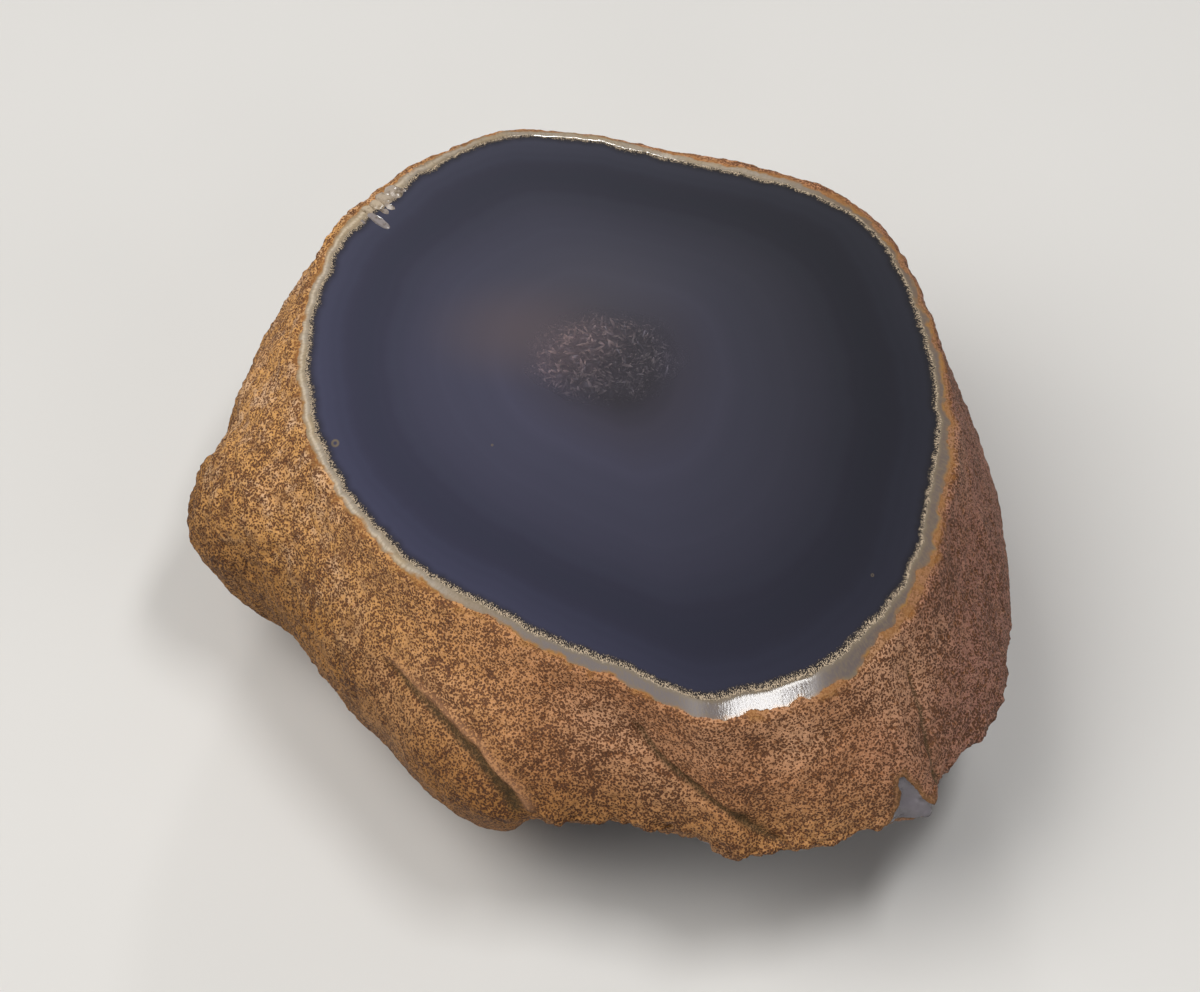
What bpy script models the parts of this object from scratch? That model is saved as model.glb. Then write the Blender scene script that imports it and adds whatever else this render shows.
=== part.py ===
# Enhydro agate: one natural nodule, cut and polished flat on top, broken along its lower front edge.
# The origin is the middle of the foot that the stone rests on, +Z is up through the polished face,
# and -Y is the side where the broken edge shows.

import math

import bpy
import bmesh
from mathutils import Vector

MM = 0.001

# Heights above the surface that the stone rests on, in millimetres
FACE_HEIGHT = 42.0

# The polished edge: how wide it rounds over, and how far it drops, at the back and at the front
EDGE_WIDTH_BACK = 2.0
EDGE_WIDTH_FRONT = 3.2
EDGE_DROP_BACK = 0.9
EDGE_DROP_FRONT = 1.7

# How straight the wall runs on the broken side: 0 swells like the rest, 1 is a straight slope
BROKEN_STRAIGHTNESS = 0.6

# How the rind curls under below the widest line: higher powers keep it full for longer, then turn it sooner
UNDER_FULLNESS = 1.7
UNDER_TURN = 0.8

# Mesh fineness: steps around the detailed front and the plainer back, then rings from the top down
STEPS_FRONT = 92
STEPS_BACK = 56
EDGE_RINGS = 3
WALL_RINGS = 16
UNDER_RINGS = 9

# The detailed front lies between these two directions, in degrees from +X
FRONT_FROM, FRONT_TO = -178.0, -14.0

# Outer edge of the polished face, seen from above, anticlockwise from the front
FACE_OUTLINE = [
    (0.9, -40.3), (6.0, -43.3), (12.4, -46.8), (18.3, -46.2), (26.6, -43.4), (34.4, -35.3), (39.4, -27.0),
    (42.0, -15.8), (44.0, -6.0), (43.9, 2.0), (42.7, 12.0), (40.3, 22.2), (35.8, 31.2), (28.5, 36.9),
    (19.4, 40.6), (9.0, 43.6), (0.5, 46.1), (-6.3, 47.4), (-12.5, 47.1), (-19.4, 43.9), (-27.0, 37.6),
    (-33.1, 29.8), (-36.6, 19.0), (-37.6, 10.8), (-36.8, 0.3), (-34.4, -8.3), (-27.6, -19.7), (-20.5, -27.4),
    (-12.8, -32.2), (-6.0, -36.6),
]

# The widest line of the stone: x, y and height, anticlockwise from the front
GIRTH_LINE = [
    (0.0, -50.3, 24.0), (4.2, -50.7, 24.0), (8.0, -51.7, 24.0), (11.3, -52.0, 24.0), (13.6, -53.6, 24.0),
    (16.1, -56.2, 24.0), (21.0, -54.8, 24.0), (26.3, -54.5, 24.0), (28.9, -53.4, 24.0), (31.0, -51.8, 24.0),
    (35.2, -51.2, 24.0), (38.8, -50.6, 24.0), (42.0, -49.0, 24.3), (41.7, -46.6, 24.5), (42.9, -43.2, 24.5),
    (45.7, -40.2, 24.5), (48.4, -36.4, 24.0), (50.2, -33.0, 23.5), (51.3, -28.6, 23.0), (51.9, -19.6, 22.0),
    (52.2, -12.4, 21.5), (51.9, -5.7, 21.0), (50.7, 2.1, 21.0), (48.5, 11.0, 21.0), (44.8, 22.0, 21.0),
    (40.5, 32.0, 21.0), (33.5, 41.0, 21.0), (22.0, 47.0, 21.0), (9.0, 50.5, 21.0), (-4.0, 52.0, 21.0),
    (-17.0, 50.5, 21.0), (-30.0, 43.6, 21.0), (-40.2, 32.0, 21.0), (-46.2, 18.5, 21.0), (-48.2, 11.0, 22.0),
    (-50.2, 5.2, 22.0), (-52.2, -1.6, 22.5), (-51.4, -7.4, 22.5), (-47.0, -11.8, 22.5), (-42.3, -14.8, 22.5),
    (-38.4, -18.6, 22.0), (-31.8, -28.8, 21.5), (-25.7, -36.0, 21.5), (-18.9, -44.8, 22.0),
    (-12.9, -49.0, 23.0), (-9.2, -50.0, 23.7), (-5.5, -49.5, 24.0),
]

# The foot: the flat patch that the stone rests on
FOOT_OUTLINE = [
    (4.0, -29.0), (18.0, -28.0), (27.0, -18.0), (31.0, -3.0), (29.0, 13.0), (20.0, 25.0), (6.0, 31.0),
    (-9.0, 31.0), (-22.0, 24.0), (-30.0, 11.0), (-31.0, -4.0), (-25.0, -18.0), (-12.0, -27.0),
]

# The broken side runs between these two directions, in degrees from +X, and fades over a few degrees
BREAK_FROM, BREAK_TO, BREAK_FADE = -101.0, -22.0, 9.0

# Grooves in the rind: the line that each one follows, its width and depth at its lower end,
# and how far the rind on its left side stands proud, or lies lower where the lip is negative
GROOVES = [
    {
        "line": [(-26.9, -30.5, 31.0), (-20.9, -37.3, 31.5), (-14.4, -44.8, 30.6), (-9.0, -49.8, 26.0)],
        "width": 2.6,
        "depth": 1.4,
        "lip": 0.9,
    },
    {
        "line": [(3.4, -43.6, 37.4), (7.5, -47.7, 34.0), (12.4, -51.0, 31.4), (22.8, -54.9, 25.5)],
        "width": 2.2,
        "depth": 1.6,
        "lip": -0.5,
    },
    {
        "line": [(36.6, -35.5, 38.6), (38.6, -41.8, 32.7), (40.2, -45.0, 29.0), (41.8, -46.0, 24.0)],
        "width": 2.6,
        "depth": 1.3,
        "lip": 0.4,
    },
    {
        "line": [(-47.0, -9.5, 27.5), (-44.2, -13.5, 24.5), (-41.9, -15.5, 19.0)],
        "width": 2.4,
        "depth": 1.2,
        "lip": 0.0,
    },
    {
        "line": [(-44.4, -1.5, 34.8), (-46.8, 4.5, 32.0), (-48.8, 8.0, 25.0)],
        "width": 2.8,
        "depth": 1.2,
        "lip": 0.0,
    },
]

# A groove's upper end is this share of its size at the lower end, and fades in over this share of its length
GROOVE_START = 0.6
GROOVE_FADE = 0.15

# The lip beside a groove is this many groove widths away from its middle
LIP_DISTANCE = 1.5

# Edges sharper than this many degrees are shaded as edges
SHARP_ANGLE = 25.0

# The rind's colour and roughness
RIND_COLOUR = (0.36, 0.21, 0.14)
RIND_ROUGHNESS = 0.85

# Dents: middle, radius and depth. The first is the chip that bares the chalcedony.
DENTS = [
    ((37.3, -49.9, 26.3), 3.4, 1.2),
    ((-44.8, -13.0, 25.5), 2.6, 0.8),
    ((20.5, -52.5, 32.0), 6.0, 0.5),
    ((46.0, -36.0, 29.0), 7.0, 0.5),
]


def smooth(value):
    value = min(1.0, max(0.0, value))
    return value * value * (3.0 - 2.0 * value)


def polar_rows(points):
    """Rows of angle, radius and any height, in order of angle."""
    rows = [(math.atan2(p[1], p[0]), math.hypot(p[0], p[1]), *p[2:]) for p in points]
    return sorted(rows)


def around(rows, angle):
    """Radius, and any height, at an angle: a smooth closed curve through the rows."""
    count = len(rows)
    after = next((i for i, row in enumerate(rows) if row[0] > angle), count)
    picked = []
    for offset in (-2, -1, 0, 1):
        turns, index = divmod(after + offset, count)
        row = rows[index]
        picked.append((row[0] + turns * math.tau, *row[1:]))
    first, left, right, last = picked
    span = right[0] - left[0]
    t = (angle - left[0]) / span
    values = []
    for k in range(1, len(left)):
        slope_left = (right[k] - first[k]) / (right[0] - first[0]) * span
        slope_right = (last[k] - left[k]) / (last[0] - left[0]) * span
        values.append(
            (2 * t**3 - 3 * t**2 + 1) * left[k]
            + (t**3 - 2 * t**2 + t) * slope_left
            + (-2 * t**3 + 3 * t**2) * right[k]
            + (t**3 - t**2) * slope_right
        )
    return values


def brokenness(angle):
    """1 where the lower edge is broken, 0 where the rind curves under."""
    degrees = math.degrees(angle)
    inside = min(degrees - BREAK_FROM, BREAK_TO - degrees)
    return smooth(inside / BREAK_FADE + 0.5)


FACE_ROWS = polar_rows(FACE_OUTLINE)
GIRTH_ROWS = polar_rows(GIRTH_LINE)
FOOT_ROWS = polar_rows(FOOT_OUTLINE)


def profile(angle):
    """Points of the stone's outline in one direction, from the flat face down to the foot."""
    (face_radius,) = around(FACE_ROWS, angle)
    girth_radius, girth_height = around(GIRTH_ROWS, angle)
    (foot_radius,) = around(FOOT_ROWS, angle)
    frontness = 0.5 - 0.5 * math.sin(angle)
    edge_width = EDGE_WIDTH_BACK + (EDGE_WIDTH_FRONT - EDGE_WIDTH_BACK) * frontness**2
    edge_drop = EDGE_DROP_BACK + (EDGE_DROP_FRONT - EDGE_DROP_BACK) * frontness**2
    broken = brokenness(angle)
    spots = []
    for ring in range(EDGE_RINGS + 1):
        t = ring / EDGE_RINGS
        spots.append((face_radius - edge_width * (1 - t), FACE_HEIGHT - edge_drop * t**2))
    wall_top = FACE_HEIGHT - edge_drop
    for ring in range(1, WALL_RINGS + 1):
        t = ring / WALL_RINGS
        swell = math.sin(t * math.pi / 2)
        share = swell + BROKEN_STRAIGHTNESS * (t - swell) * broken
        spots.append(
            (face_radius + (girth_radius - face_radius) * share, wall_top + (girth_height - wall_top) * t)
        )
    for ring in range(1, UNDER_RINGS + 1):
        t = ring / UNDER_RINGS
        curled = max(0.0, 1.0 - t**UNDER_FULLNESS) ** UNDER_TURN
        straight = 1.0 - t
        share = curled + (straight - curled) * broken
        height = girth_height * (1 - t)
        spots.append((foot_radius + (girth_radius - foot_radius) * share, height))
    return spots


def groove_depth(spot, groove):
    """How far a groove sinks a point of the wall, in millimetres; a lip counts as less than nothing."""
    line = [Vector(p) for p in groove["line"]]
    nearest, along, side = None, 0.0, 1.0
    for k in range(len(line) - 1):
        step = line[k + 1] - line[k]
        t = min(1.0, max(0.0, (spot - line[k]).dot(step) / step.length_squared))
        gap = spot - (line[k] + step * t)
        if nearest is None or gap.length < nearest:
            nearest = gap.length
            along = (k + t) / (len(line) - 1)
            outward = Vector((spot.x, spot.y, 0.0))
            side = 1.0 if step.cross(outward).dot(gap) > 0 else -1.0
    grown = GROOVE_START + (1.0 - GROOVE_START) * along
    fade = smooth(along / GROOVE_FADE)
    width = groove["width"] * grown
    sunk = groove["depth"] * grown * math.exp(-((nearest / width) ** 2))
    lip = groove["lip"] * grown * math.exp(-(((nearest - LIP_DISTANCE * width) / width) ** 2))
    return (sunk - (lip if side < 0 else 0.0)) * fade


def dent_depth(spot, dent):
    middle, radius, depth = dent
    return depth * math.exp(-((spot - Vector(middle)).length / radius) ** 2)


def weathered(spot):
    """A point of the wall moved in or out for the grooves and dents."""
    outward = Vector((spot.x, spot.y, 0.0)).normalized()
    sunk = sum(groove_depth(spot, groove) for groove in GROOVES)
    sunk += sum(dent_depth(spot, dent) for dent in DENTS)
    return spot - outward * sunk


def directions():
    """Angles around the stone, close together over the detailed front."""
    start, stop = math.radians(FRONT_FROM), math.radians(FRONT_TO)
    front = [start + (stop - start) * step / STEPS_FRONT for step in range(STEPS_FRONT)]
    rest = math.tau - (stop - start)
    back = [stop + rest * step / STEPS_BACK for step in range(STEPS_BACK)]
    return [(angle + math.pi) % math.tau - math.pi for angle in front + back]


def stone_mesh():
    mesh = bmesh.new()
    columns = []
    for angle in directions():
        column = []
        for ring, (radius, height) in enumerate(profile(angle)):
            spot = Vector((radius * math.cos(angle), radius * math.sin(angle), height))
            if EDGE_RINGS < ring < EDGE_RINGS + WALL_RINGS + UNDER_RINGS:
                spot = weathered(spot)
            column.append(mesh.verts.new(spot * MM))
        columns.append(column)
    for step, column in enumerate(columns):
        following = columns[(step + 1) % len(columns)]
        for ring in range(len(column) - 1):
            mesh.faces.new((column[ring], column[ring + 1], following[ring + 1], following[ring]))
    mesh.faces.new([column[0] for column in columns])
    mesh.faces.new([column[-1] for column in reversed(columns)])
    bmesh.ops.recalc_face_normals(mesh, faces=mesh.faces)
    bmesh.ops.triangulate(mesh, faces=mesh.faces)
    centre_on_foot(mesh)
    return mesh


def centre_on_foot(mesh):
    """Puts the origin under the middle of the stone's outline, at the height of the foot."""
    low = [min(v.co[k] for v in mesh.verts) for k in range(3)]
    high = [max(v.co[k] for v in mesh.verts) for k in range(3)]
    middle = Vector(((low[0] + high[0]) / 2, (low[1] + high[1]) / 2, low[2]))
    bmesh.ops.translate(mesh, vec=-middle, verts=mesh.verts)


def material(name, colour, roughness):
    made = bpy.data.materials.new(name)
    made.use_nodes = True
    shader = made.node_tree.nodes["Principled BSDF"]
    shader.inputs["Base Color"].default_value = (*colour, 1.0)
    shader.inputs["Roughness"].default_value = roughness
    shader.inputs["Metallic"].default_value = 0.0
    return made


def build():
    for old in list(bpy.data.objects):
        bpy.data.objects.remove(old)
    data = bpy.data.meshes.new("agate_nodule")
    stone = stone_mesh()
    stone.to_mesh(data)
    stone.free()
    data.shade_smooth()
    data.set_sharp_from_angle(angle=math.radians(SHARP_ANGLE))
    nodule = bpy.data.objects.new("agate_nodule", data)
    nodule.data.materials.append(material("rind", RIND_COLOUR, RIND_ROUGHNESS))
    bpy.context.scene.collection.objects.link(nodule)


build()
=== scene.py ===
# Looks for the enhydro agate: rind, polished face with its pale skin band, the druse seen through the
# chalcedony, and the small crystals at the edge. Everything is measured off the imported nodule.

import math

import bpy
import numpy as np
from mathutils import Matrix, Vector, noise
from mathutils.bvhtree import BVHTree


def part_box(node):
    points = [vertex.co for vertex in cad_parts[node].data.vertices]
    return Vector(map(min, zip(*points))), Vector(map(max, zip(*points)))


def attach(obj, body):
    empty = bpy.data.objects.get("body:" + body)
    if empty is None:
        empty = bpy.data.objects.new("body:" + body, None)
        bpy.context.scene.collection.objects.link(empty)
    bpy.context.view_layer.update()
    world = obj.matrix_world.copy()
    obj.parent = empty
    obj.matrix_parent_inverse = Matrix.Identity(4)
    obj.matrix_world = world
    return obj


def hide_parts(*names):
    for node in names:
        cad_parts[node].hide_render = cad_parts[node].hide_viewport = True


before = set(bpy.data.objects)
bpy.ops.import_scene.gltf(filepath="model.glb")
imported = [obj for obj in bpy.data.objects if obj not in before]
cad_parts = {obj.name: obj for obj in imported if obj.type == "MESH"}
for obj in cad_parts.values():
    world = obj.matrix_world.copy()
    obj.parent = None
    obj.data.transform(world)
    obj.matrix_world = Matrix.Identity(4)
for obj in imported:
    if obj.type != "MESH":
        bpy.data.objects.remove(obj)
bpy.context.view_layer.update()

mm = 0.001
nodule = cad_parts["agate_nodule"]
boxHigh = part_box("agate_nodule")[1]
faceHeight = boxHigh.z / mm

# The nodule's surface as it is measured: all in millimetres, angles in degrees from +X
stone = {
    "columns": 1320,
    "wallRows": 92,
    "underRows": 44,
    "footRows": 12,
    "middle": (0.0, 2.0),          # the axis that the surface is measured around
    "frameDrop": (0.9, 1.7),       # how far the frame's polished edge drops, at the back and at the front
    # how far the finished edge drops, by direction: most at the front, where it catches the light
    "edgeDrops": [(-180, 0.30), (-115, 0.28), (-95, 0.3), (-83, 0.45), (-75, 1.0), (-58, 1.1), (-46, 0.7),
                  (-30, 0.45), (0, 0.35), (60, 0.35), (80, 0.44), (105, 0.44), (125, 0.35)],
    "edgeSoftness": 14.0,          # how many columns such a table is smoothed over
    "edgeTurn": 0.3,               # the share of the edge that curves, before it slopes evenly
    "edgeReach": 0.30,             # the share of the wall that moves with the edge
    "viewedFrom": 52.0,            # the outline is kept as it looks from this height above the horizon
    "rimLumps": (4.5, 0.30, 2, 21.0),  # how ragged the rim is: size, height, octaves and seed
    "rimNicks": (1.8, 0.20, 3, 22.0),
    "rimNicked": 0.13,             # the share of the wall that is as ragged as the rim
    "girthFrom": 17.0,             # the widest line lies between these two heights
    "girthTo": 28.0,
    "girthStep": 0.25,
    "girthSoftness": 5.0,
    "breakFrom": -101.0,           # the lower edge is broken between these directions
    "breakTo": -22.0,
    "breakFade": 9.0,
    "smoothing": 0.9,              # how far the facets of the frame are smoothed over
    "rowSoftness": 2.0,
    "rimGap": 0.03,                # how far under the frame's rim the wall is first measured
    "footGap": 0.02,
    "footHole": 0.01,
    "footCrowding": 1.5,           # how much closer the rows of the underside lie near the foot
    "seamFrom": 30.0,              # the back of the rind is a mesh of its own, from this direction
    "seamSpan": 142.0,
}


def smoothStep(value):
    value = np.clip(value, 0.0, 1.0)
    return value * value * (3.0 - 2.0 * value)


def bump(distance, width):
    return np.exp(-((distance / width) ** 2))


def between(limits, share):
    return limits[0] + (limits[1] - limits[0]) * share


def fractal(points, size, octaves, seed):
    # noise of about -1 to 1 with its largest lumps as big as size, in millimetres
    shift = Vector((seed * 7.3, seed * 3.1, seed * 5.7))
    flat = points.reshape(-1, 3) / size
    values = [noise.fractal(Vector(p) + shift, 0.9, 2.1, octaves) for p in flat]
    return np.array(values).reshape(points.shape[:-1])


def ridges(points, size, octaves, seed):
    shift = Vector((seed * 2.9, seed * 6.1, seed * 4.3))
    flat = points.reshape(-1, 3) / size
    values = [noise.ridged_multi_fractal(Vector(p) + shift, 0.8, 2.1, octaves, 1.0, 2.0) for p in flat]
    return np.array(values).reshape(points.shape[:-1])


def lumps(points, settings):
    size, height, octaves, seed = settings
    return height * fractal(points, size, octaves, seed)


def blurred(grid, spread, axis, closed):
    reach = int(3 * spread) + 1
    weights = np.exp(-0.5 * (np.arange(-reach, reach + 1) / spread) ** 2)
    weights /= weights.sum()
    moved = np.moveaxis(grid, axis, 0)
    padding = [(reach, reach)] + [(0, 0)] * (moved.ndim - 1)
    padded = np.pad(moved, padding, mode="wrap" if closed else "edge")
    total = sum(w * padded[k:k + len(moved)] for k, w in enumerate(weights))
    return np.moveaxis(total, 0, axis)


# The frame's surface, measured with level rays towards the axis
frameTree = BVHTree.FromPolygons(
    [v.co for v in nodule.data.vertices],
    [tuple(p.vertices) for p in nodule.data.polygons],
)
reachOut = max(boxHigh.x, boxHigh.y) * 2 / mm
angles = np.linspace(-math.pi, math.pi, stone["columns"], endpoint=False)


def radiusAt(angle, height):
    side = Vector((math.cos(angle), math.sin(angle), 0.0))
    start = side * reachOut + Vector((*stone["middle"], height))
    hit = frameTree.ray_cast(start * mm, -side)
    return reachOut - hit[3] / mm


degrees = np.degrees(angles)


def byDirection(table, softness=stone["edgeSoftness"]):
    # a smooth value all round the stone from a few pairs of direction and value
    values = np.interp(degrees, [row[0] for row in table], [row[1] for row in table], period=360.0)
    return blurred(values, softness, 0, True)


frontness = (0.5 - 0.5 * np.sin(angles)) ** 2
frameDrop = between(stone["frameDrop"], frontness)
rimHeight = faceHeight - frameDrop
edgeDrop = byDirection(stone["edgeDrops"])
edgeRaised = frameDrop - edgeDrop
edgeMoved = -edgeRaised * np.sin(angles) / math.tan(math.radians(stone["viewedFrom"]))
insideBreak = np.minimum(degrees - stone["breakFrom"], stone["breakTo"] - degrees)
broken = smoothStep(insideBreak / stone["breakFade"] + 0.5)

heights = np.arange(stone["girthFrom"], stone["girthTo"], stone["girthStep"])
girthHeight = np.array([heights[np.argmax([radiusAt(a, z) for z in heights])] for a in angles])
girthHeight = blurred(girthHeight, stone["girthSoftness"], 0, True)

wallShare = np.linspace(0.0, 1.0, stone["wallRows"])[:, None]
wallHeight = (rimHeight - stone["rimGap"]) + (girthHeight - rimHeight) * wallShare
underShare = np.linspace(0.0, 1.0, stone["underRows"])[:, None]
underHeight = girthHeight * (1.0 - underShare) ** stone["footCrowding"] + stone["footGap"]


def placed(radius, height):
    x = stone["middle"][0] + radius * np.cos(angles)
    y = stone["middle"][1] + radius * np.sin(angles)
    return np.stack([x, y, np.broadcast_to(height, radius.shape)], axis=-1)


def measured(heightGrid):
    return np.array([[radiusAt(a, z) for a, z in zip(angles, row)] for row in heightGrid])


wallRadius = measured(wallHeight)
underRadius = measured(underHeight)
rimRadius = blurred(wallRadius[0], stone["rowSoftness"], 0, True)
columnSize = math.tau * rimRadius.mean() / stone["columns"]
overColumns = stone["smoothing"] / columnSize
wallRadius = blurred(blurred(wallRadius, overColumns, 0, False), overColumns, 1, True)
underRadius = blurred(blurred(underRadius, stone["rowSoftness"], 0, False), overColumns, 1, True)
underRadius += (wallRadius[-1] - underRadius[0]) * (1.0 - underShare)
wallRadius[0] = rimRadius
rimLine = placed(rimRadius[None], rimHeight[None])[0]
ragged = lumps(rimLine, stone["rimLumps"]) + lumps(rimLine, stone["rimNicks"])
wallRadius += ragged * (1.0 - smoothStep(wallShare / stone["rimNicked"]))
wallRadius += edgeMoved * (1.0 - smoothStep(wallShare / stone["edgeReach"]))
wallHeight = wallHeight + edgeRaised * (1.0 - smoothStep(wallShare / stone["edgeReach"]))
print("surface measured:", stone["columns"], "columns")


footShare = np.linspace(0.0, 1.0, stone["footRows"] + 1)[1:, None]
footRadius = underRadius[-1] * (1.0 - footShare) + stone["footHole"]
shell = np.concatenate([
    placed(wallRadius, wallHeight),
    placed(underRadius[1:], underHeight[1:]),
    placed(footRadius, np.zeros_like(footRadius)),
])
girthRow = stone["wallRows"] - 1
footRow = girthRow + stone["underRows"] - 1


def gridNormals(points):
    along = np.roll(points, -1, axis=1) - np.roll(points, 1, axis=1)
    down = np.gradient(points, axis=0)
    found = np.cross(down, along)
    length = np.linalg.norm(found, axis=-1, keepdims=True)
    return found / np.maximum(length, 1e-9)


def nearLine(points, normals, line):
    # distance along the surface to a line of points, how far along the line, and on which side
    aboveWeight = 0.3
    best = np.full(points.shape[:-1], 1e9)
    along = np.zeros_like(best)
    side = np.zeros_like(best)
    corners = np.array(line, float)
    for k in range(len(corners) - 1):
        step = corners[k + 1] - corners[k]
        t = np.clip(((points - corners[k]) @ step) / (step @ step), 0.0, 1.0)
        gap = points - (corners[k] + step * t[..., None])
        above = np.sum(gap * normals, axis=-1, keepdims=True)
        distance = np.linalg.norm(gap - above * normals, axis=-1) + aboveWeight * np.abs(above[..., 0])
        turned = np.sum(np.cross(step, normals) * gap, axis=-1)
        closer = distance < best
        best = np.where(closer, distance, best)
        along = np.where(closer, (k + t) / (len(corners) - 1), along)
        side = np.where(closer, np.sign(turned), side)
    return best, along, side


# Relief of the rind
relief = {
    # lumps: size, height, octaves and seed
    "lumps": (9.0, 0.30, 2, 1.0),
    "knobs": (2.6, 0.20, 2, 2.0),
    "grains": (0.9, 0.13, 2, 3.0),
    "edgeLumps": (3.2, 0.85, 3, 5.0),  # how ragged the broken lower edge is
    "edgeChips": (1.1, -0.15, 2, 6.0),
    "lipLumps": (5.0, 0.4, 2, 12.0),
    # the left is rougher: from where, over what length, and by how much
    "leftFrom": -22.0,
    "leftOver": 16.0,
    "leftKnobs": 0.7,
    "leftGrains": 0.9,
    # where things lie in rows of the grid: from which row, and over how many
    "edgeRows": 9.0,
    "lipRow": 4.0,
    "lipRows": 5.0,
    "tuckRows": 3.0,
    "footRows": 6.0,
    "fractureRow": 3.0,
    "fractureRows": 3.0,
    # how far the rind stands out just below the polished edge, by direction, in degrees and millimetres
    "lips": [(-180, 0.2), (-90, 0.15), (-20, 0.15), (15, 0.2), (35, 0.35), (50, 0.65), (65, 0.7), (75, 0.4),
             (95, 0.3), (118, 0.6), (140, 0.7), (165, 0.3)],
    "lipSoftness": 12.0,
    # how the grooves change from their starts to their ends, and how they fade there
    "grooving": {
        "wobble": (2.4, 0.21, 2, 11.0),
        "strengths": (0.60, 1.10),
        "widths": (0.7, 1.3),
        "ribSpreads": (0.7, 1.1),
        "ribWidth": 0.75,
        "tallestRib": 0.85,
        "fadeIn": 0.12,
        "fadeOut": 0.14,
        "pastEnd": 0.04,
    },
    "grooves": [
        {
            "line": [(-26.9, -28.3, 30.9), (-21.0, -34.5, 30.5), (-17.5, -38.5, 30.3),
                     (-14.4, -42.0, 29.5), (-10.4, -45.6, 26.4), (-9.0, -47.6, 24.2)],
            "width": 0.85, "depth": 0.48, "rib": 0.80, "ribAt": 1.75,
        },
        {
            "line": [(3.4, -41.5, 37.4), (7.6, -45.0, 33.1), (12.4, -48.2, 30.3),
                     (17.6, -50.6, 28.1), (23.2, -53.0, 24.6)],
            "width": 0.60, "depth": 1.00, "rib": -0.10, "ribAt": 1.8,
        },
        {
            "line": [(36.6, -33.3, 38.4), (38.7, -38.9, 31.6), (39.8, -42.0, 27.9), (41.0, -44.0, 24.0)],
            "width": 0.50, "depth": 0.35, "rib": 0.12, "ribAt": 1.4,
        },
    ],
    # the chip: its outline is across and up from a spot, and faces a way
    "chip": {
        "at": (37.2, -46.2, 27.0), "facing": (0.30, -0.94, 0.14), "sunk": 0.45,
        "bevel": 0.5, "bevelStart": 0.2, "margin": 2.0, "reach": 9.0,
        "outline": [(-1.1, 2.7), (-0.4, 2.8), (0.1, 2.0), (0.8, 0.9), (1.6, -0.7), (2.8, -1.9), (3.6, -2.6),
                    (3.4, -3.4), (0.4, -3.6), (-2.4, -3.7), (-3.6, -3.4), (-2.2, -2.3), (-1.4, -1.0),
                    (-1.0, 0.4), (-1.3, 1.7)],
    },
}


def raisedBy(points):
    lefter = smoothStep((relief["leftFrom"] - points[..., 0]) / relief["leftOver"])
    height = lumps(points, relief["lumps"])
    height += (1.0 + relief["leftKnobs"] * lefter) * lumps(points, relief["knobs"])
    height += (1.0 + relief["leftGrains"] * lefter) * lumps(points, relief["grains"])
    return height


outward = gridNormals(shell)
height = raisedBy(shell)
# how deep each place lies in a groove, used to paint shade into the grooves
grooveShadeMark = np.zeros(shell.shape[:-1])
# where the ribs stand, used to paint light onto them
ribLitMark = np.zeros_like(grooveShadeMark)
grooving = relief["grooving"]
wobble = lumps(shell, grooving["wobble"])
for groove in relief["grooves"]:
    distance, along, side = nearLine(shell, outward, groove["line"])
    grown = between(grooving["strengths"], along) * smoothStep(along / grooving["fadeIn"])
    grown = grown * smoothStep((1.0 + grooving["pastEnd"] - along) / grooving["fadeOut"])
    cut = bump(distance + wobble, groove["width"] * between(grooving["widths"], along)) * grown
    fromRib = distance - groove["ribAt"] * between(grooving["ribSpreads"], along)
    lip = bump(fromRib, grooving["ribWidth"]) * grown * (side < 0)
    height += groove["rib"] * lip - groove["depth"] * cut
    grooveShadeMark = np.maximum(grooveShadeMark, cut)
    if groove["rib"] > 0:
        ribLitMark = np.maximum(ribLitMark, lip * groove["rib"] / grooving["tallestRib"])

rowNumber = np.arange(len(shell))[:, None]
edgeNear = bump(rowNumber - girthRow, relief["edgeRows"]) * broken
height += edgeNear * lumps(shell, relief["edgeLumps"])
chipSize, chipHeight, chipOctaves, chipSeed = relief["edgeChips"]
height += edgeNear * chipHeight * ridges(shell, chipSize, chipOctaves, chipSeed)
lipOut = byDirection(relief["lips"], relief["lipSoftness"]) * (1.0 + lumps(rimLine, relief["lipLumps"]))
height += lipOut * bump(rowNumber - relief["lipRow"], relief["lipRows"])
onFoot = smoothStep((footRow - rowNumber) / relief["footRows"])
height = height * onFoot * smoothStep(rowNumber / relief["tuckRows"])
shell = shell + outward * height[..., None]
shell[..., 2] = np.maximum(shell[..., 2], 0.0)


def insideBy(flat, outline):
    # how far inside a closed outline each point lies, less than nothing outside
    corners = np.array(outline)
    nearest = np.full(flat.shape[:-1], 1e9)
    within = np.zeros(flat.shape[:-1], bool)
    for first, second in zip(corners, np.roll(corners, -1, axis=0)):
        step = second - first
        t = np.clip(((flat - first) @ step) / (step @ step), 0.0, 1.0)
        nearest = np.minimum(nearest, np.linalg.norm(flat - first - step * t[..., None], axis=-1))
        spanned = (first[1] > flat[..., 1]) != (second[1] > flat[..., 1])
        crossing = first[0] + step[0] * (flat[..., 1] - first[1]) / (step[1] or 1e-9)
        within ^= spanned & (flat[..., 0] < crossing)
    return np.where(within, nearest, -nearest)


chip = relief["chip"]
chipFacing = np.array(chip["facing"]) / np.linalg.norm(chip["facing"])
chipAcross = np.cross((0.0, 0.0, 1.0), chipFacing)
chipAcross = chipAcross / np.linalg.norm(chipAcross)
chipUp = np.cross(chipFacing, chipAcross)
fromChip = shell - np.array(chip["at"])
chipInside = insideBy(np.stack([fromChip @ chipAcross, fromChip @ chipUp], axis=-1), chip["outline"])
chipNear = np.linalg.norm(fromChip, axis=-1) < chip["reach"]
chipInside = np.where(chipNear, np.clip(chipInside, -chip["margin"], chip["margin"]), -chip["margin"])
sunk = chip["sunk"] * smoothStep(chipInside / chip["bevel"] + chip["bevelStart"])
shell = shell - chipFacing * sunk[..., None]
outward = gridNormals(shell)

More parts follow.
